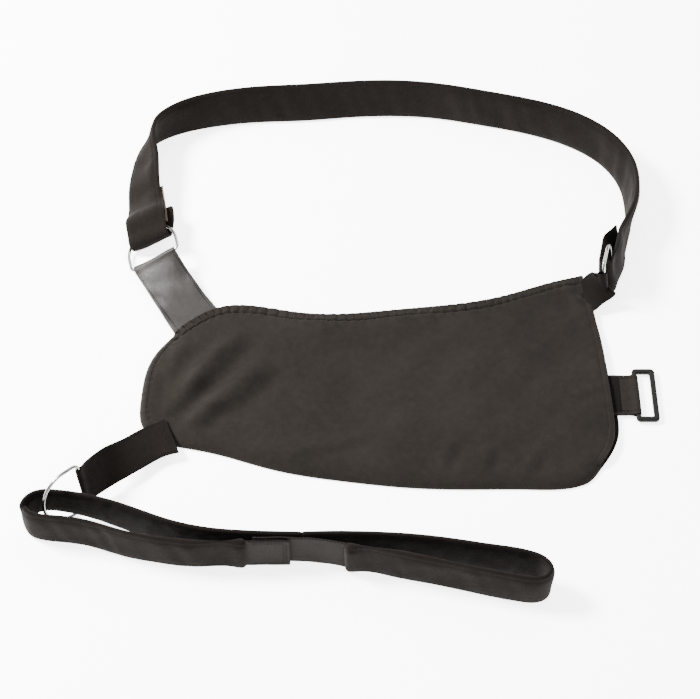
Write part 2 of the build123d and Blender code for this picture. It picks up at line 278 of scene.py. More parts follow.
def stitches(name, rows, material, pitch, thick, length=2.1):
    """Rows of (points, normals) as lines of small thread loops lying on a surface."""
    verts, faces = [], []
    circle = np.linspace(0, TURN, STITCH_AROUND, endpoint=False)
    for points, normals in rows:
        s = chord(points)
        places = np.arange(pitch / 2, s[-1] - pitch / 3, pitch)
        middles = resample(places, s, points)
        along = norm(resample(np.minimum(places + AHEAD, s[-1]), s, points) - middles)
        for p, f, n in zip(middles, along, norm(resample(places, s, normals))):
            side = np.cross(n, f)
            base = len(verts)
            for station, swell in zip(STITCH_STATIONS, STITCH_SWELL):
                centre = p + f * station * length / 2 + n * (STITCH_RISE - STITCH_DIP * station**2)
                for a in circle:
                    verts.append(centre + swell * thick / 2 * (side * math.cos(a) + n * math.sin(a)))
            last = base + (len(STITCH_STATIONS) - 1) * STITCH_AROUND
            for one in range(base, last, STITCH_AROUND):
                two = one + STITCH_AROUND
                for k in range(STITCH_AROUND):
                    m = (k + 1) % STITCH_AROUND
                    faces.append((one + k, one + m, two + m, two + k))
            faces.append(tuple(base + k for k in reversed(range(STITCH_AROUND))))
            faces.append(tuple(last + k for k in range(STITCH_AROUND)))
    return mesh(name, verts, faces, material)


def creases(count, low, high):
    """Shallow slanting creases at uneven places along a strap."""
    places = np.linspace(low, high, count) + rng.uniform(-9, 9, count)
    depths = rng.uniform(0.15, 0.6, count)
    lengths = rng.uniform(3.5, 8.0, count)
    return np.stack([places, depths, lengths], 1).tolist()


# stitches stay this far inside a band's edge
STITCH_INSET = 2


def band_row(info, across, start, end):
    """A stitch row along a band's upper face. across is the distance from its middle."""
    keep = (info["s"] > start) & (info["s"] < info["s"][-1] - end)
    widest = info["half_w"][keep][:, None] - STITCH_INSET
    across = np.clip(np.full(widest.shape, across), -widest, widest)
    normals = info["face"][keep]
    points = info["centre"][keep] + info["wide"][keep] * across + normals * info["half_t"][keep][:, None]
    return points, normals


def edge_rows(info, share, across, start, end):
    """Stitch rows along both edges of a band's first share: its upper ply, before it turns at the bar."""
    first = {key: values[: int(len(info["s"]) * share)] for key, values in info.items()}
    return [band_row(first, side * across, start, end) for side in (-1, 1)]


# ---- materials
def linear(rgb):
    """Display colour 0-255 to the linear value that a shader takes."""
    c = np.array(rgb, float) / 255
    return [float(v) for v in np.where(c <= 0.04045, c / 12.92, ((c + 0.055) / 1.055) ** 2.4)] + [1.0]


class Nodes:
    """Builds a node material, one call to each node."""

    def __init__(self, name):
        self.material = bpy.data.materials.new(name)
        self.material.use_nodes = True
        self.tree = self.material.node_tree
        self.shader = self.tree.nodes["Principled BSDF"]
        self.place = self.add("ShaderNodeTexCoord").outputs["Object"]

    def add(self, kind, inputs=None, **settings):
        node = self.tree.nodes.new(kind)
        for key, value in settings.items():
            setattr(node, key, value)
        for key, value in (inputs or {}).items():
            self.put(node.inputs[key], value)
        return node

    def put(self, socket, value):
        if isinstance(value, bpy.types.NodeSocket):
            self.tree.links.new(value, socket)
        else:
            socket.default_value = value

    def math(self, operation, a, b=0.0):
        return self.add("ShaderNodeMath", {0: a, 1: b}, operation=operation).outputs[0]

    def times(self, a, b):
        return self.math("MULTIPLY", a, b)

    def remap(self, value, low, high, to_low, to_high):
        node = self.add("ShaderNodeMapRange", {"Value": value, "From Min": low, "From Max": high,
                                               "To Min": to_low, "To Max": to_high})
        return node.outputs[0]

    def mix(self, factor, a, b):
        return self.add("ShaderNodeMix", {"Factor": factor, 6: a, 7: b}, data_type="RGBA").outputs[2]

    def noise(self, size, detail, roughness=0.5):
        """Noise 0..1 with patches of about the given size in millimetres."""
        node = self.add("ShaderNodeTexNoise", {"Vector": self.place, "Scale": 1000 / size, "Detail": detail,
                                               "Roughness": roughness})
        return node.outputs["Fac"]

    def bump(self, strength, distance, height, **normal):
        """Relief from a height, distance in millimetres."""
        node = self.add("ShaderNodeBump", {"Strength": strength, "Distance": distance * MM, "Height": height,
                                           **normal})
        return node.outputs[0]

    def set(self, **values):
        for key, value in values.items():
            self.put(self.shader.inputs[key.replace("_", " ")], value)


def weave(n, uv, pitch_x, pitch_y, twill):
    """Height 0..1 of crossing threads over the cloth's own coordinates (metres). twill slants the pattern."""
    split = n.add("ShaderNodeSeparateXYZ", {0: uv})
    u, v = split.outputs[0], split.outputs[1]
    slanted = n.math("ADD", v, n.times(u, twill))
    a = n.math("SINE", n.times(u, TURN / (pitch_x * MM)))
    b = n.math("SINE", n.times(slanted, TURN / (pitch_y * MM)))
    return n.math("ADD", n.times(n.math("ADD", a, b), 0.25), 0.5)


WEAR = 0.05
# near-black painted shade for the gaps between threads
SHADE_BETWEEN_THREADS = [0.004, 0.0035, 0.003, 1]
SHEEN_TINT = (0.86, 0.82, 0.78, 1)


def cloth(name, dark, light, pitch, twill, sheen, rough, height, fuzz=0.0, wear=(50, 46, 42), mottle=6.0,
          specular=0.02, sewn_at=0.0):
    """Woven cloth: threads with painted shade in the gaps between them, uneven dye, lint or nap, and worn
    high spots.

    sewn_at: distance from the middle of a band where its edges are pinched in by a row of stitches, with
    painted shade darkening the cloth at each pinch.
    """
    n = Nodes(name)
    uv = n.add("ShaderNodeUVMap", uv_map="cloth").outputs[0]
    threads = weave(n, uv, pitch[0], pitch[1], twill)
    broad = n.noise(70, 4.0, 0.6)
    middle = n.noise(mottle, 3.0, 0.6)
    grain = n.noise(0.8, 2.0, 0.7)
    tone = n.math("ADD", n.times(broad, 0.55), n.times(middle, 0.45))
    base = n.mix(n.remap(tone, 0.32, 0.68, 0.0, 1.0), linear(dark), linear(light))
    # painted shade: the colour darkens where the threads are low, in the gaps between them
    thread_gap_shade = n.mix(n.remap(threads, 0.0, 0.7, 0.38, 0.0), base, SHADE_BETWEEN_THREADS)
    lint = n.remap(n.noise(2.3, 4.0, 0.8), 0.68, 0.80, 0.0, WEAR * 3)
    worn = n.mix(lint, thread_gap_shade, linear(wear))
    if sewn_at:
        # painted shade along the stitch row: the cloth darkens at each stitch where it is pinched in
        split = n.add("ShaderNodeSeparateXYZ", {0: uv})
        off = n.math("ABSOLUTE", n.math("SUBTRACT", n.math("ABSOLUTE", split.outputs[1]), sewn_at * MM))
        near = n.remap(off, 0.3 * MM, 1.3 * MM, 1.0, 0.0)
        beat = n.math("SINE", n.times(split.outputs[0], TURN / (STITCH_PITCH * MM)))
        stitch_shade = n.times(near, n.remap(beat, -0.4, 0.6, 0.15, 0.85))
        worn = n.mix(stitch_shade, worn, linear([c * 0.35 for c in dark]))
    geometry = n.add("ShaderNodeNewGeometry")
    edge = n.remap(geometry.outputs["Pointiness"], 0.52, 0.60, 0.0, WEAR * 4)
    final = n.mix(n.times(edge, grain), worn, linear(wear))
    relief = n.math("ADD", threads, n.times(grain, 0.5 + fuzz))
    folds = n.bump(0.30, 0.9, middle, Normal=n.bump(0.35, height, relief))
    n.set(Base_Color=final, Roughness=n.remap(grain, 0.3, 0.7, rough - 0.08, min(rough + 0.10, 1.0)),
          Normal=folds, Sheen_Weight=sheen, Sheen_Roughness=0.5, Sheen_Tint=SHEEN_TINT,
          Specular_IOR_Level=specular)
    return n.material


def thread(name, colour):
    n = Nodes(name)
    strands = n.noise(0.5, 2.0, 0.6)
    # painted shade: the thread darkens where its strands are low, in the valleys of its relief
    valley = linear([c * 0.6 for c in colour])
    n.set(Base_Color=n.mix(n.remap(strands, 0.3, 0.7, 0, 1), valley, linear(colour)),
          Roughness=n.remap(strands, 0.3, 0.7, 0.55, 0.8), Normal=n.bump(0.5, 0.1, strands),
          Sheen_Weight=0.02, Specular_IOR_Level=0.03)
    return n.material


def steel(name):
    """Nickel-plated wire: bright, with faint drawing lines and dulled spots."""
    n = Nodes(name)
    dull = n.noise(7, 4.0, 0.6)
    scratch = n.noise(0.35, 2.0, 0.5)
    tint = n.mix(n.remap(dull, 0.4, 0.7, 0, 1), (0.30, 0.30, 0.295, 1), (0.18, 0.178, 0.172, 1))
    n.set(Base_Color=tint, Roughness=n.remap(dull, 0.35, 0.7, 0.12, 0.30), Metallic=1.0,
          Normal=n.bump(0.15, 0.04, scratch))
    return n.material


def plastic(name, dark, light):
    """Moulded plastic with fine grain, soft gloss and paler rubbed edges."""
    n = Nodes(name)
    grain = n.noise(0.45, 3.0, 0.6)
    cloud = n.noise(12, 3.0, 0.6)
    geometry = n.add("ShaderNodeNewGeometry")
    edge = n.remap(geometry.outputs["Pointiness"], 0.54, 0.66, 0.0, 0.18)
    base = n.mix(n.remap(cloud, 0.35, 0.65, 0, 1), linear(dark), linear(light))
    n.set(Base_Color=n.mix(edge, base, linear((30, 28, 27))), Roughness=n.remap(cloud, 0.3, 0.7, 0.34, 0.5),
          Normal=n.bump(0.25, 0.05, grain), Specular_IOR_Level=0.07)
    return n.material


# dark and light display colour, thread pitch in mm, twill, sheen, roughness, relief in mm, nap
POUCH = cloth("pouch_cloth", (17, 15, 13), (25, 22, 20), (0.55, 0.55), 1.0, 0.03, 0.82, 0.10)
# the back layer is a darker copy of the pouch cloth: painted shade for the layer lying under the front one
POUCH_BACK_SHADED = cloth("pouch_back_shaded", (14, 12, 10), (20, 17, 15), (0.55, 0.55), 1.0, 0.02, 0.86, 0.10)
SATIN = cloth("tab_satin", (27, 25, 23), (36, 33, 31), (0.7, 0.35), 0.0, 0.05, 0.42, 0.08,
              wear=(72, 67, 62), specular=0.10, sewn_at=20.0)
LOOP = cloth("strap_loop_fabric", (8, 6, 5), (17, 14, 12), (1.3, 1.3), 0.5, 0.03, 0.95, 0.25, 0.8,
             wear=(38, 34, 31), mottle=3.0)
WEB = cloth("webbing", (9, 7, 6), (14, 12, 10), (1.5, 0.9), 0.0, 0.02, 0.75, 0.22)
WEB_PALE = cloth("webbing_pale", (20, 17, 15), (26, 23, 21), (1.5, 0.9), 0.0, 0.02, 0.62, 0.22,
                 wear=(46, 42, 38), sewn_at=19.0)
HOOK = cloth("hook_tape", (7, 6, 5), (11, 9, 8), (1.2, 1.2), 0.0, 0.02, 0.8, 0.35)
HOOK_EDGE = cloth("hook_tape_edge", (84, 73, 62), (108, 95, 82), (0.9, 0.9), 0.0, 0.03, 0.8, 0.12,
                  wear=(120, 110, 98))
THREAD = thread("thread_dark", (9, 8, 7))
THREAD_PALE = thread("thread_pale", (22, 19, 17))
STEEL = steel("ring_steel")
PLASTIC = plastic("buckle_plastic", (5, 4.5, 4), (9, 8, 7))


# ---- rings and their planes
class RingPlane:
    """Plane of a ring: x along its bar, y from the bar to the bow, z across."""

    def __init__(self, origin, bar, depth):
        self.o = arr(origin)
        self.x = norm(bar)
        self.y = norm(arr(depth) - self.x * (self.x @ arr(depth)))
        self.z = np.cross(self.x, self.y)

    def at(self, x, y, z):
        return self.o + self.x * x + self.y * y + self.z * z


LEFT = RingPlane((-190, 98, 16.8), (0.868, 0.222, 0.444), (-0.248, 0.969, 0))
RIGHT = RingPlane((244, 58, 28.4), (0.14, -0.035, -0.989), (0.242, 0.970, 0))
WAIST = RingPlane((-236, -174, 28.2), (-0.10, 0.15, 0.98), (-0.75, -0.66, 0))
WIRE = 1.5
WIRE_AROUND = 20
BOW = 26.5
SIDE = 14.5
CORNER = 5.0
WELD_REACH = 3
WELD_HEIGHT = 0.18
WELD_WIDTH = 1.2


def ring(plane, name, node, body):
    half = BOW - CORNER
    path = [(x, 0) for x in np.linspace(-half, half, 14)]
    for a in np.linspace(0.2, QUARTER, 7):
        path.append((half + CORNER * math.sin(a), CORNER * (1 - math.cos(a))))
    path += [(BOW, y) for y in np.linspace(CORNER + 2, SIDE - 1, 4)]
    path += [(BOW * math.cos(a), SIDE + BOW * math.sin(a)) for a in np.linspace(0, math.pi, 48)]
    path += [(-BOW, y) for y in np.linspace(SIDE - 1, CORNER + 2, 4)]
    for a in np.linspace(0, QUARTER - 0.2, 7):
        path.append((-half - CORNER * math.cos(a), CORNER * (1 - math.sin(a))))
    points = arr([plane.at(x, y, 0) for x, y in path])
    obj = wire_mesh(name, points, plane.z)
    # flash of the butt weld at the middle of the bar
    centre = plane.at(0, 0, 0)
    for v in obj.data.vertices:
        p = np.array(v.co) / MM
        along = (p - centre) @ plane.x
        from_axis = p - centre - plane.x * along
        if abs(along) < WELD_REACH and np.linalg.norm(from_axis) < WELD_REACH:
            v.co = Vector((p + norm(from_axis) * WELD_HEIGHT * bump(along, WELD_WIDTH)) * MM)
    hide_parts(node)
    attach(obj, body)


ring(LEFT, "ring_left_wire", "shoulder_d_ring_left", "ring_left")
ring(RIGHT, "ring_right_wire", "shoulder_d_ring_right", "ring_right")
ring(WAIST, "ring_waist_wire", "waist_d_ring", "waist_ring")

# ---- pouch
MOUTH = [(-168, 14), (-124, 45), (-48, 38), (48, 42), (146, 58), (200, 77), (226, 84)]
ELBOW = [(-168, 14), (-186, -12), (-194, -60), (-190, -92), (-165, -112)]
BOTTOM = [(-165, -112), (-120, -122), (-72, -138), (0, -152), (50, -158), (100, -160), (160, -160),
          (197, -159), (212, -154), (226, -138)]
HAND_FRONT = [(226, 84), (232, 50), (237, 10), (240, -40), (242, -88), (239, -114), (226, -138)]
HAND_BACK = [(226, 84), (233, 50), (239, 10), (243, -40), (247, -80), (246, -100), (240, -117), (226, -139)]
# thickness of one layer, height of the whole pouch, and grid points along the mouth and down a side
CLOTH = 1.4
TOP = 8.6
NU = 300
NV = 132
RIM_OUT = 0.45


def border(points, count):
    flat = [(x, y, 0) for x, y in points]
    line = smooth_line(flat, 0.5)
    s = chord(line)
    want = np.linspace(0, s[-1], count)
    return resample(want, s, line[:, :2])


def coons(top, bottom, left, right):
    """Grid (NV, NU, 2) filling four borders. Rows go from top to bottom, closer together near both edges."""
    u = np.linspace(0, 1, NU)[None, :, None]
    even = np.linspace(0, 1, NV)
    v = 0.6 * even + 0.4 * (0.5 - 0.5 * np.cos(math.pi * even))
    sides = []
    for line in (left, right):
        sides.append(resample(v, np.linspace(0, 1, len(line)), line)[:, None])
    v = v[:, None, None]
    ruled = (1 - v) * top[None] + v * bottom[None] + (1 - u) * sides[0] + u * sides[1]
    corners = (1 - u) * (1 - v) * top[0] + u * (1 - v) * top[-1]
    corners = corners + (1 - u) * v * bottom[0] + u * v * bottom[-1]
    return ruled - corners


def distance_to(line, points):
    """Distance and place along of each grid point from a border line."""
    flat = points.reshape(-1, 2)
    s = chord(np.hstack([line, np.zeros((len(line), 1))]))
    best = np.full(len(flat), 1e9)
    place = np.zeros(len(flat))
    for i in range(len(line) - 1):
        a, b = line[i], line[i + 1]
        d = b - a
        t = np.clip(((flat - a) @ d) / (d @ d), 0, 1)
        gap = np.linalg.norm(flat - a - t[:, None] * d, axis=1)
        nearer = gap < best
        best[nearer] = gap[nearer]
        place[nearer] = s[i] + t[nearer] * (s[i + 1] - s[i])
    return best.reshape(points.shape[:2]), place.reshape(points.shape[:2])


def crease(points, a, b, width, height):
    """A fold of cloth from a to b, highest in the middle."""
    d = b - a
    t = ((points - a) @ d) / (d @ d)
    off = np.abs((points - a) @ arr([-d[1], d[0]])) / np.linalg.norm(d)
    ends = fade(t, -0.1, 0.3) * (1 - fade(t, 0.7, 1.1))
    return height * bump(off, width) * ends


def sheet_mesh(name, grid, height, thickness, material):
    """Closed sheet with a rounded edge from a grid, its mid height and its thickness."""
    nv, nu, _ = grid.shape
    mid = np.dstack([grid, height])
    normal = norm(np.cross(np.gradient(mid, axis=1), np.gradient(mid, axis=0)))
    normal[normal[..., 2] < 0] *= -1
    upper = mid + normal * thickness / 2
    lower = mid - normal * thickness / 2
    verts = np.vstack([upper.reshape(-1, 3), lower.reshape(-1, 3)])
    index = np.arange(nv * nu).reshape(nv, nu)
    corners = (index[:-1, :-1], index[:-1, 1:], index[1:, 1:], index[1:, :-1])
    quads = np.stack(corners, -1).reshape(-1, 4)
    faces = quads[:, ::-1].tolist() + (quads + nv * nu).tolist()
    rim = np.concatenate([index[0, :-1], index[:-1, -1], index[-1, :0:-1], index[:0:-1, 0]])
    rim_mid = mid.reshape(-1, 3)[rim]
    step = norm(np.roll(rim_mid, -1, 0) - np.roll(rim_mid, 1, 0))
    out = norm(np.cross(step, [0, 0, 1]))
    middle = grid.reshape(-1, 2).mean(0)
    if ((rim_mid[:, :2] - middle) * out[:, :2]).sum() < 0:
        out = -out
    ridge = rim_mid + out * thickness * RIM_OUT
    first = len(verts)
    verts = np.vstack([verts, ridge])
    count = len(rim)
    for i in range(count):
        j = (i + 1) % count
        faces.append((rim[i], rim[j], first + j, first + i))
        faces.append((first + i, first + j, rim[j] + nv * nu, rim[i] + nv * nu))
    uv = np.vstack([grid.reshape(-1, 2), grid.reshape(-1, 2), ridge[:, :2]])
    return mesh(name, verts, faces, material, uv), upper, normal


grid = coons(border(MOUTH, NU), border(BOTTOM, NU), border(ELBOW, NV), border(HAND_FRONT, NV))

# distances are measured to coarser copies of the borders
ALONG = 90
UP_SIDE = 60
d_mouth, s_mouth = distance_to(border(MOUTH, ALONG), grid)
d_bottom, _ = distance_to(border(BOTTOM, ALONG), grid)
d_elbow, s_elbow = distance_to(border(ELBOW, UP_SIDE), grid)
d_hand, s_hand = distance_to(border(HAND_FRONT, UP_SIDE), grid)


def rounded(d, reach):
    t = np.clip(d / reach, 0, 1)
    return np.sqrt(1 - (1 - t) ** 2)


FOLD = 15.0
LOWEST = 0.75
front_mid = LOWEST + (TOP - CLOTH / 2 - LOWEST) * rounded(d_bottom, FOLD) * rounded(d_elbow, FOLD)
inside = fade(d_bottom, 2, 26) * fade(d_elbow, 2, 22)

broad, middle_waves, small = Waves(120), Waves(48), Waves(17)
# drawn and not used, so that the random shapes after it stay the same
Waves(9, 8)
x, y = grid[..., 0], grid[..., 1]
relief = 0.75 * broad(x, y) + 0.45 * middle_waves(x, y) + 0.07 * small(x, y)
# folds of the front layer: from, to, width, height
FOLDS = [
    ((-173, -84), (-137, -34), 9, 1.7), ((-160, -62), (-101, 16), 11, 2.3),
    ((-150, -98), (-124, -62), 9, 2.0), ((-135, -82), (-78, -22), 12, 2.1),
    ((-172, -40), (-158, 2), 8, 1.1), ((-104, -118), (-34, -136), 9, 1.4),
    ((-60, -128), (20, -106), 9, 0.8), ((80, -150), (92, -112), 6, 0.7),
    ((118, -152), (126, -118), 6, 0.7), ((160, -152), (166, -122), 6, 0.7),
    ((205, 78), (224, 50), 5, 1.1), ((192, 74), (218, 62), 5, 0.9),
    ((214, 40), (232, 22), 5, 0.8), ((182, 40), (216, 20), 9, 0.8),
    ((-148, 12), (-120, -14), 7, 1.0), ((205, -58), (232, -52), 6, 0.5),
    ((-30, 34), (-26, 8), 6, 0.5), ((70, 40), (80, 12), 7, 0.5),
]
for start, end, width, high in FOLDS:
    start, end = arr(start), arr(end)
    beside = 1.7 * width * arr([1, -0.3])
    ridge = 1.9 * crease(grid, start, end, width, high)
    valley = 1.2 * crease(grid, start + beside, end + beside, width, high)
    relief = relief + ridge - valley

HEM = 8.0
HAND_HEM = 5.2
ELBOW_ROW = 7.0
# the mouth hem's gathers and pleats are waves along it, pinched in around its stitch row
hem = (1 - fade(d_mouth, HEM - 0.9, HEM + 0.3)) * 0.85
groove = -0.95 * bump(d_mouth - HEM, 1.1)
gather = np.sin(s_mouth * TURN / 9.5 + 1.8 * Waves(60, 5)(s_mouth, 0 * s_mouth))
pleat = np.maximum(np.sin(s_mouth * TURN / 9.0 + 1.1 * Waves(60, 5)(s_mouth, 0 * s_mouth)), 0) ** 5
pucker = 0.55 * gather * bump(d_mouth - HEM, 4.0) - 2.5 * pleat * bump(d_mouth - 4.2, 3.6)
hand_hem = (1 - fade(d_hand, HAND_HEM - 1, HAND_HEM)) * 0.45 - 0.35 * bump(d_hand - HAND_HEM, 0.8)
elbow_hem = -0.8 * bump(d_elbow - ELBOW_ROW, 1.1) + 0.4 * bump(d_elbow - 4, 2.2)
elbow_pucker = 0.3 * np.sin(s_elbow * TURN / 8) * bump(d_elbow - ELBOW_ROW, 4)
relief = relief * inside * fade(d_mouth, -2, 12) + hem + groove + pucker + hand_hem
relief = relief + (elbow_hem + elbow_pucker) * fade(d_bottom, 2, 14)
low_edge = fade(d_bottom, 0, 9) * fade(d_elbow, 0, 4)
# no fold dips into the back layer
front_z = np.maximum(front_mid + relief * low_edge, LOWEST)

front_grid = grid.copy()
front_grid[..., 1] += 0.16 * gather * bump(d_mouth, 3)
front, front_top, front_normal = sheet_mesh("pouch_front", front_grid, front_z, CLOTH, POUCH)

# the back layer's mouth is a little above the front layer's, and its hand end a little further out
BACK_UP = 1.2
back_mouth = [(x, y + BACK_UP) for x, y in MOUTH]
back_top_line = border([(MOUTH[0][0] + 1, MOUTH[0][1] + BACK_UP)] + back_mouth[1:], NU)
back_bottom = border([(x, y + 1.6) for x, y in BOTTOM[:-2]] + [(212, -154), HAND_BACK[-1]], NU)
back_elbow = border([(x + 2.0, y) for x, y in ELBOW], NV)
back_grid = coons(back_top_line, back_bottom, back_elbow, border(HAND_BACK, NV))
b_mouth, _ = distance_to(border(back_mouth, ALONG), back_grid)
b_hand, bs_hand = distance_to(border(HAND_BACK, UP_SIDE), back_grid)
back_z = 0.72 + 0.35 * (1 - fade(b_mouth, HEM - 1, HEM)) + 0.3 * (1 - fade(b_hand, 4, 5))
back_z = back_z + 0.12 * (1 + Waves(30)(back_grid[..., 0], back_grid[..., 1])) * fade(b_mouth, 20, 8)
back, back_top, back_normal = sheet_mesh("pouch_back", back_grid, back_z, CLOTH, POUCH_BACK_SHADED)


PICK_NEAR = 2.2
PICK_SPREAD = 1.6


def pick(top, normal, distance, place, at_distance, low, high, count):
    """Points on a sheet's top at one distance from a border, in order along it."""
    near = np.abs(distance - at_distance) < PICK_NEAR
    s = place[near]
    weight = 1 / (0.05 + np.abs(distance[near] - at_distance))
    points, normals = [], []
    for w in np.linspace(low, high, count):
        k = weight * bump(s - w, PICK_SPREAD)
        points.append((top[near] * k[:, None]).sum(0) / k.sum())
        normals.append((normal[near] * k[:, None]).sum(0) / k.sum())
    return arr(points), norm(arr(normals))


HEM_THREAD = 0.5
TAB_THREAD = 0.55
SATIN_THREAD = 0.8


def hem_rows(name, top, normal, distance, place, at, start, end, count):
    rows = [pick(top, normal, distance, place, d, start, place.max() - end, count) for d in at]
    return stitches(name, rows, THREAD, FINE_PITCH, HEM_THREAD)


upper_face = (front_top, front_normal)
front_rows = hem_rows("stitches_mouth", *upper_face, d_mouth, s_mouth, [HEM], 8, 8, 260)
hand_rows = hem_rows("stitches_hand", *upper_face, d_hand, s_hand, [HAND_HEM], 8, 42, 150)
elbow_rows = hem_rows("stitches_elbow", *upper_face, d_elbow, s_elbow, [6.0, 8.2], 16, 34, 90)
back_rows = hem_rows("stitches_back_hand", back_top, back_normal, b_hand, bs_hand, [5.0], 6, 8, 150)

# the front layer and its stitch rows have their transforms baked into their meshes
for obj in (front, front_rows, hand_rows, elbow_rows):
    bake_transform(obj)
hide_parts("pouch_front_panel", "pouch_front_flap", "mouth_hem_front", "hand_hem", "elbow_binding")
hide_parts("pouch_back_panel", "mouth_hem_back", "pouch_bottom_fold", "elbow_seam")
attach(back, "pouch")
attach(back_rows, "pouch")


# ---- webbing tabs
PLY = 1.2
HALF_GAP = 0.66


def folded_tab(name, knots, plane, width, bend, material, ripple=0.12):
    """Webbing from its root to the bar, round it and back, as one continuous band.

    knots: rows of centre x, y, z, width direction, width, from the root towards the bar.
    """
    mid = smooth_line(knots, 3.0)
    wide, face = frames(mid)
    gap = face * HALF_GAP
    sizes = [mid[:, 6:7], np.full((len(mid), 1), PLY)]
    upper = np.hstack([mid[:, :3] + gap, wide, *sizes])
    lower = np.hstack([mid[:, :3] - gap, wide, *sizes])
    radius = bend + PLY / 2
    plane = RingPlane(plane.o, plane.x, plane.o - mid[-5, :3])
    turn = []
    for a in np.linspace(QUARTER, -QUARTER, 13):
        p = plane.at(0, radius * math.cos(a), radius * math.sin(a))
        turn.append([*p, *plane.x, width, PLY])
    return band(name, np.vstack([upper, turn, lower[::-1]]), material, ripple)


BAND_AROUND = 44
BAND_STEP = 1.2
BAND_POWER = 7
KERNEL = np.array([1, 2, 3, 2, 1]) / 9


def band(name, rows, material, ripple=0.12):
    """Flat webbing along rows of centre, width direction, width, thickness. Returns it with its lines."""
    at = chord(rows)
    s = np.linspace(0, at[-1], int(at[-1] / BAND_STEP) + 1)
    line = resample(s, at, rows)
    for i in range(3):
        padded = np.pad(line[:, i], 2, mode="edge")
        line[2:-2, i] = np.convolve(padded, KERNEL, "valid")[2:-2]
    wide, face = frames(line)
    half_w, half_t = line[:, 6] / 2, line[:, 7] / 2
    x, y = section(BAND_AROUND, BAND_POWER)
    waves = Waves(26)
    rings = np.empty((len(s), BAND_AROUND, 3))
    uv = np.empty((len(s), BAND_AROUND, 2))
    for i in range(len(s)):
        w = x * half_w[i]
        t = y * half_t[i] + ripple * waves(s[i], w)
        rings[i] = line[i, :3] + np.outer(w, wide[i]) + np.outer(t, face[i])
        uv[i, :, 0] = s[i]
        uv[i, :, 1] = w
    info = dict(s=s, centre=line[:, :3], wide=wide, face=face, half_w=half_w, half_t=half_t)
    return rings_mesh(name, rings, material, uv), info


def neck_blend(x, *pieces):
    """Bakes each piece's transform into its mesh. x, where its root is, in metres, is not used."""
    for obj in pieces:
        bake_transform(obj)


BEFORE_BAR = 3.5


def from_edges(first, second, plane, width):
    """Knots of a tab from its two edges, ending at the bar."""
    edges = []
    for points, side in ((first, -1), (second, 1)):
        points = [arr(p) for p in points]
        bar = plane.at(side * width / 2, 0, 0)
        edges.append(points + [bar - BEFORE_BAR * norm(bar - points[-1])])
    return [[*((a + b) / 2), *norm(b - a), float(np.linalg.norm(b - a))] for a, b in zip(*edges)]


def straight_edges(root_left, root_right, plane, width, count, late):
    """Knots of a tab whose two edges run straight from the root to the bar, rising late."""
    root_left, root_right = arr(root_left), arr(root_right)
    bar_left = plane.at(-width / 2, -BEFORE_BAR, 0)
    bar_right = plane.at(width / 2, -BEFORE_BAR, 0)
    rows = []
    for t in np.linspace(0, 1, count):
        along = arr([t, t, t**late])
        low = root_left * (1 - along) + bar_left * along
        high = root_right * (1 - along) + bar_right * along
        rows.append([*((low + high) / 2), *norm(high - low), float(np.linalg.norm(high - low))])
    return rows


LEFT_W = 46
RIGHT_W = 32
BEND = 2.0
LEFT_TAB = straight_edges((-159, 1, 4.2), (-116, 29, 4.2), LEFT, LEFT_W, 8, 2.3)
left_tab, left_info = folded_tab("tab_left", LEFT_TAB, LEFT, LEFT_W, BEND, SATIN, 0.45)
rows = edge_rows(left_info, share=0.47, across=20.0, start=22, end=6)
left_stitch = stitches("stitches_tab_left", rows, THREAD_PALE, STITCH_PITCH, SATIN_THREAD, 2.2)

RIGHT_TAB = from_edges([(214, 77, 4.2), (224, 78, 6.5), (232, 74, 25)],
                       [(218, 40, 4.2), (230, 41, 4.6), (238.5, 47, 7.0)], RIGHT, RIGHT_W)
right_tab, right_info = folded_tab("tab_right", RIGHT_TAB, RIGHT, RIGHT_W, BEND, WEB, 0.05)
rows = edge_rows(right_info, share=0.42, across=16, start=16, end=3)
right_stitch = stitches("stitches_tab_right", rows, THREAD, STITCH_PITCH, TAB_THREAD)

neck_blend(-0.15, left_tab, left_stitch)
neck_blend(0.228, right_tab, right_stitch)
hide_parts("shoulder_tab_left", "shoulder_tab_left_root")
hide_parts("shoulder_tab_right", "shoulder_tab_right_root")

WAIST_TAB_W = 40
WAIST_ROW = 17.5
ROOT_POINTS = 20
WAIST_TAB = from_edges([(-170, -126, 10.3), (-177, -132.5, 10.6), (-189, -145, 10.5), (-208, -158, 9.5)],
                       [(-154.5, -89.5, 10.4), (-178, -97.5, 11.5), (-202, -118, 22), (-222, -142, 37)],
                       WAIST, WAIST_TAB_W)
waist_tab, waist_info = folded_tab("tab_waist", WAIST_TAB, WAIST, WAIST_TAB_W, BEND, LOOP)
rows = edge_rows(waist_info, share=0.46, across=WAIST_ROW, start=2, end=6)
across = np.linspace(-WAIST_ROW, WAIST_ROW, ROOT_POINTS)[:, None]
for inset in (2.5, 5.5):
    i = int(np.searchsorted(waist_info["s"], inset))
    base = waist_info["centre"][i] + waist_info["face"][i] * PLY / 2
    normals = np.repeat(waist_info["face"][i][None], ROOT_POINTS, 0)
    rows.append((base + across * waist_info["wide"][i], normals))
waist_stitch = stitches("stitches_tab_waist", rows, THREAD, FINE_PITCH, TAB_THREAD)
# the waist tab and its stitches have their transforms baked into their meshes
for obj in (waist_tab, waist_stitch):
    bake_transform(obj)
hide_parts("waist_tab", "waist_tab_root")

# ---- loop for the free end of the waist strap
BUCKLE_Y = -57
BUCKLE_Z = 3.7
BUCKLE = RingPlane((266.2, BUCKLE_Y, BUCKLE_Z), (0, -1, 0), (1, 0, 0))
BAR = 2.1
LOOP_L = 21.5
LOOP_W = 60.0
LOOP_T = 4.0
LOOP_END = 5.0
BEVEL = 1.1
OUTER_CORNER = 4.0
INNER_CORNER = 1.5


def rounded_rect(x0, x1, y0, y1, r):
    points = []
    corners = ((x1 - r, y1 - r, 0), (x0 + r, y1 - r, 90), (x0 + r, y0 + r, 180), (x1 - r, y0 + r, 270))
    for cx, cy, start in corners:
        for a in np.linspace(math.radians(start), math.radians(start + 90), 8):
            points.append((cx + r * math.cos(a), cy + r * math.sin(a)))
    return points


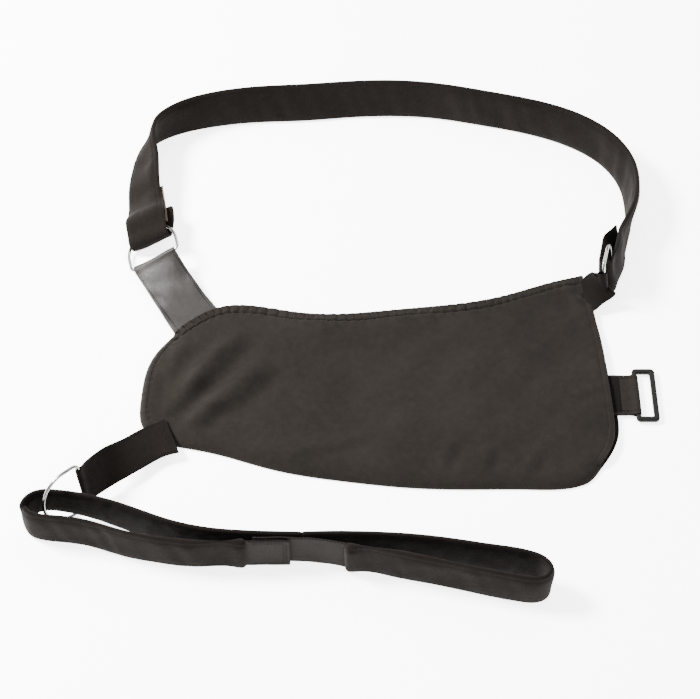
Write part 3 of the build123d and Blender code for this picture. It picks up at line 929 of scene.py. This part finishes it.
def loop_frame():
    """Rectangular loop: contours that go round its bevelled section, outside first."""
    outer = (-LOOP_W / 2, LOOP_W / 2, -BAR, LOOP_L - BAR)
    inner = (-LOOP_W / 2 + LOOP_END, LOOP_W / 2 - LOOP_END, BAR, LOOP_L - BAR - LOOP_END)
    profile = []
    for box, sign, radius, side, start, end in (
            (outer, -1, OUTER_CORNER, -1, -QUARTER, 0), (outer, -1, OUTER_CORNER, 1, 0, QUARTER),
            (inner, 1, INNER_CORNER, 1, QUARTER, 0), (inner, 1, INNER_CORNER, -1, 0, -QUARTER)):
        for a in np.linspace(start, end, 5):
            grow = sign * BEVEL * (1 - math.cos(a))
            z = side * (LOOP_T / 2 - BEVEL) + BEVEL * math.sin(a)
            corner = max(radius + grow, 0.3)
            flat = rounded_rect(box[0] - grow, box[1] + grow, box[2] - grow, box[3] + grow, corner)
            profile.append([BUCKLE.at(px, py, z) for px, py in flat])
    profile = arr(profile)
    uv = np.stack(np.indices(profile.shape[:2]), -1)
    return rings_mesh("buckle_frame", profile, PLASTIC, uv, closed=True)


buckle = loop_frame()
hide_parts("buckle_loop")
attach(buckle, "buckle")

BUCKLE_TAB_W = 45
# width and height of a dark sheet laid on the buckle tab near the pouch, as painted shade
SHADE_PATCH_W = 41
SHADE_PATCH_Z = BUCKLE_Z + 1.55
TAB_KNOTS = [[px, BUCKLE_Y, pz, 0, -1, 0, 46] for px, pz in ((218, BUCKLE_Z), (232, BUCKLE_Z), (246, 3.9))]
TAB_KNOTS.append([*BUCKLE.at(0, -6, 0), *BUCKLE.x, BUCKLE_TAB_W])
buckle_tab, buckle_info = folded_tab("tab_buckle", TAB_KNOTS, BUCKLE, BUCKLE_TAB_W, BAR + 0.45, WEB_PALE)
# dark sheet of hook-tape cloth over the tab's low part next to the pouch: painted shade
shade_patch_rows = arr([[px, BUCKLE_Y, SHADE_PATCH_Z, 0, -1, 0, SHADE_PATCH_W, 0.8] for px in (226, 234, 242, 251)])
shade_patch, _ = band("tab_buckle_painted_shade", shade_patch_rows, HOOK, ripple=0.04)
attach(shade_patch, "pouch")
rows = edge_rows(buckle_info, share=0.44, across=18.5, start=20, end=3)
buckle_stitch = stitches("stitches_tab_buckle", rows, THREAD_PALE, STITCH_PITCH, TAB_THREAD)
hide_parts("buckle_tab")
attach(buckle_tab, "pouch")
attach(buckle_stitch, "pouch")

# ---- shoulder strap
STRAP_W = 42.0
STRAP_T = 7.0
# thickness of the unpadded ends, how far from each ring's bar they turn back, and the turn's radius
TAIL = 3.2
FOLD_AT = {"left": 29.5, "right": 15.5}
FOLD_R = 6.0


def standing(x, y, lean, along):
    """Row of a strap standing on edge at x, y that leans to its right by lean degrees."""
    a = math.radians(lean)
    along = norm(along)
    up = arr([along[1], -along[0], 0]) * math.sin(a) + arr([0, 0, 1]) * math.cos(a)
    centre = arr([x, y, 0]) + up * STRAP_W / 2 + arr([0, 0, abs(math.sin(a)) * STRAP_T / 2])
    return [*centre, *up, STRAP_W, STRAP_T]


# line of the strap on the floor between its two folds: x, y, lean in degrees
GROUND = [
    (-222, 168, 54), (-223.5, 200, 48), (-221.5, 230, 40), (-216, 252, 27), (-204, 269, 11), (-179, 285, -2),
    (-140, 296, -10), (-94, 302, -14), (-50, 304, -16), (0, 309, -15), (42, 311, -14), (88, 308, -12),
    (136, 298, -11), (188, 284, -11), (231, 264, -12), (260, 238, -12), (275, 207, -12), (278, 176, -10),
    (276, 148, -3), (270, 118, 8),
]


def turned(plane, degrees, shift):
    """The plane turned about its own z and shifted along its bar, for a strap that sits askew in its ring."""
    a = math.radians(degrees)
    x = plane.x * math.cos(a) - plane.y * math.sin(a)
    y = plane.y * math.cos(a) + plane.x * math.sin(a)
    return RingPlane(plane.at(shift, 0, 0), x, y)


def rolled(plane, degrees, shift):
    """The plane turned about its own y and shifted along its bar."""
    a = math.radians(degrees)
    return RingPlane(plane.at(shift, 0, 0), plane.x * math.cos(a) + plane.z * math.sin(a), plane.y)


# Lap of the strap end at each ring: length, shift along the bar, how much thicker it gets towards its
# end, and how far it closes on the strap beyond the wire.
LAP = {"left": (34, 4.0, 1.4, 0.0), "right": (46, 0.0, 0.2, 9.5)}


def lap_level(side, y):
    """Height of the lap's middle over the ring's plane at y from the fold."""
    meet = LAP[side][3]
    return float(-FOLD_R - 0.5 * fade(y, 0, 20) + meet * fade(y, 28, 46))


PADDED_FROM = 18


def fold_rows(plane, sign, side, thick):
    """Rows from the lap end, round the bow, to the start of the padded part, which is thick there."""
    lap, aside, thicker, _ = LAP[side]
    fold_at = FOLD_AT[side]
    wide = plane.x * sign
    rows = []
    for y in np.linspace(lap, 4, 6):
        centre = plane.at(aside * float(fade(y, 0, lap * 0.6)), fold_at + y, lap_level(side, y))
        rows.append([*centre, *wide, STRAP_W, TAIL + thicker * float(fade(y, 8, 26))])
    for a in np.linspace(-QUARTER, QUARTER, 9):
        p = plane.at(0, fold_at - FOLD_R * math.cos(a), FOLD_R * math.sin(a))
        rows.append([*p, *wide, STRAP_W, TAIL])
    rows.append([*plane.at(0, fold_at + 7, FOLD_R + 0.3), *wide, STRAP_W, TAIL + 0.6])
    rows.append([*plane.at(0, fold_at + PADDED_FROM, FOLD_R + 1.5), *wide, STRAP_W, thick])
    return rows


LEFT_FOLD = turned(LEFT, 7, -3.2)
RIGHT_FOLD = rolled(RIGHT, 2, 3.0)
shoulder_rows = fold_rows(LEFT_FOLD, 1, "left", STRAP_T)
for i, (gx, gy, lean) in enumerate(GROUND):
    before = GROUND[max(i - 1, 0)]
    after = GROUND[min(i + 1, len(GROUND) - 1)]
    heading = (after[0] - before[0], after[1] - before[1], 0) if i else (0, 1, 0)
    shoulder_rows.append(standing(gx, gy, lean, heading))
shoulder_rows += fold_rows(RIGHT_FOLD, -1, "right", STRAP_T - 1.2)[::-1]
shoulder = strap("shoulder_strap", shoulder_rows, LOOP, 1.8, 0.45, (5, 5), creases(34, 90, 1010))
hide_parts("shoulder_sleeve", "shoulder_foam", "shoulder_tail_left", "shoulder_tail_right")
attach(shoulder, "neck_loop")

TAPE_LEVEL = 2.6


def hook_tape(plane, side, node, start, end):
    """Hook tape sewn inside the lap, with its pale woven edge along one side."""
    for label, across, width, thick, material in (
            ("face", 7.0, 22.0, 1.2, HOOK), ("edge", 18.4, 1.6, 1.5, HOOK_EDGE)):
        rows = []
        for y in np.linspace(start, end, 12):
            level = lap_level(side, y - FOLD_AT[side]) + TAPE_LEVEL
            drawn_in = float(fade(y, 56, 88))
            rows.append([*plane.at(across - drawn_in, y, level), *plane.x, width, thick])
        obj, _ = band("hook_tape_" + side + "_" + label, arr(rows), material, ripple=0.06)
        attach(obj, "neck_loop")
        if label == "face":
            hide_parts(node)


hook_tape(LEFT_FOLD, "left", "hook_tape_left", 44, 90)
hook_tape(RIGHT_FOLD, "right", "hook_tape_right", 45, 54)

# ---- waist strap
WAIST_W = 40.0
WAIST_T = 6.4
ON_FLOOR = 0.4
# lines of the two sleeves on the floor: x, y
LEFT_LOOP = [
    (-40, -231), (-90, -229.5), (-125, -226), (-160, -217), (-195, -203), (-230, -192), (-258, -187.5),
    (-273, -188), (-282, -194), (-284, -201), (-280, -208), (-266, -213), (-235, -217), (-200, -228),
    (-165, -236), (-130, -239.5), (-104, -239.6), (-97, -239.4), (-89, -239),
]
RIGHT_LOOP = [
    (-5, -243), (3, -243.8), (11, -244.8), (34, -248.6), (75, -258), (120, -269), (146, -274.6),
    (160, -275.5), (168, -272), (171, -265), (167, -257), (154, -250), (120, -243), (75, -235.5),
    (25, -231), (-20, -230.3), (-43, -231),
]
# height of the lower edge where the back leg rides over the lower wire of the ring, by row
LEFT_LIFTS = {5: 6.0, 6: 9.2, 7: 9.2, 8: 6.0}
# extra thickness where a sleeve ends in a roll, by row
LEFT_SWELLS = {16: -1.6, 17: 3.4, 18: 5.0}
RIGHT_SWELLS = {0: 5.4, 1: 3.6, 2: -1.6}


def loop_rows(points, lifts, swells):
    rows = []
    for i, (px, py) in enumerate(points):
        low = lifts.get(i, ON_FLOOR)
        height = WAIST_W - low
        rows.append([px, py, low + height / 2, 0, 0, 1, height, WAIST_T + swells.get(i, 0.0)])
    return rows


def waist_sleeve(name, rows, round_end, wrinkle, *nodes):
    obj = strap(name, rows, LOOP, 1.6, 0.35, round_end, wrinkle)
    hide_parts(*nodes)
    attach(obj, "waist_strap")


waist_sleeve("waist_strap_left", loop_rows(LEFT_LOOP, LEFT_LIFTS, LEFT_SWELLS), (4, 5),
             creases(16, 20, 430), "waist_left_sleeve", "waist_left_foam")
waist_sleeve("waist_strap_right", loop_rows(RIGHT_LOOP, {}, RIGHT_SWELLS), (5, 4),
             creases(15, 20, 400), "waist_right_sleeve", "waist_right_foam")


def flat_rows(points, width=38.0, thick=2.0):
    return arr([[px, py, 20, 0, 0, 1, width, thick] for px, py in points])


STRIP = [(-84, -235), (-62, -234.8), (-36, -235.4), (-20, -237.4), (-6.5, -240.2), (3, -242.2)]
HOOK_STRIP = [(-97, -239.2), (-88.6, -238.9), (-76, -238.8), (-64, -238.7), (-52, -238.6)]
PATCH = [(px, -236.9) for px in (-84, -76, -66, -57)]
loop_end, _ = band("waist_loop_strip", flat_rows(STRIP), WEB_PALE)
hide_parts("waist_loop_end")
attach(loop_end, "waist_strap")
hook_end, _ = band("waist_hook_strip", flat_rows(HOOK_STRIP), WEB_PALE)
hook_patch, _ = band("waist_hook_patch_face", flat_rows(PATCH, 36, 0.9), HOOK, ripple=0.03)
upright = [[(px, -239.95, z) for z in np.linspace(4, 36, 18)] for px in (-55, -57.5)]
level = [[(px, -240.0, z) for px in np.linspace(-84, -56, 16)] for z in (4, 36)]
rows = [(arr(points), arr([(0, -1, 0)] * len(points))) for points in upright + level]
hook_rows = stitches("stitches_waist_hook", rows, THREAD_PALE, FINE_PITCH, HEM_THREAD)
# the hook strip, its patch and its stitches have their transforms baked into their meshes
for obj in (hook_end, hook_patch, hook_rows):
    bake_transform(obj)
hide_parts("waist_hook_end")
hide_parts("waist_hook_patch")


# ---- floor, light and camera
FLOOR = 6000
FLOOR_Z = -0.2
FLOOR_GLOW = 4.0


def floor():
    n = Nodes("floor_paper")
    speck = n.noise(1000 / 900, 3.0)
    paper = n.mix(n.remap(speck, 0.3, 0.7, 0, 1), (0.93, 0.93, 0.93, 1), (0.95, 0.95, 0.95, 1))
    n.set(Base_Color=paper, Roughness=0.95, Specular_IOR_Level=0.0, Emission_Color=(1, 1, 1, 1),
          Emission_Strength=FLOOR_GLOW)
    verts = [(x * FLOOR, y * FLOOR, FLOOR_Z) for x, y in ((-1, -1), (1, -1), (1, 1), (-1, 1))]
    mesh("floor", verts, [(0, 1, 2, 3)], n.material)


floor()


def area_light(name, place, size, power):
    """Square light that shines at the middle of the layout."""
    data = bpy.data.lights.new(name, "AREA")
    data.size = size
    data.energy = power
    obj = bpy.data.objects.new(name, data)
    obj.location = place
    obj.rotation_euler = (-Vector(place)).to_track_quat("-Z", "Y").to_euler()
    bpy.context.scene.collection.objects.link(obj)


# name, place and side in metres, power in watts
area_light("key", (-1.5, 0.35, 1.7), 0.6, 350)
area_light("back", (0.5, 1.5, 2.0), 1.6, 70)
area_light("fill", (0.3, -1.3, 2.2), 1.6, 45)
SKY = 0.85
world = bpy.data.worlds.new("studio")
bpy.context.scene.world = world
world.use_nodes = True
sky = world.node_tree.nodes["Background"]
sky.inputs["Color"].default_value = (1, 1, 1, 1)
sky.inputs["Strength"].default_value = SKY

ELEVATION = math.radians(52)
DISTANCE = 1.8
LENS = 97.4
SENSOR = 36
camera_data = bpy.data.cameras.new("camera")
camera_data.lens = LENS
camera_data.sensor_width = SENSOR
camera = bpy.data.objects.new("camera", camera_data)
camera.location = (0, -DISTANCE * math.cos(ELEVATION), DISTANCE * math.sin(ELEVATION))
camera.rotation_euler = (QUARTER - ELEVATION, 0, 0)
bpy.context.scene.collection.objects.link(camera)
bpy.context.scene.camera = camera
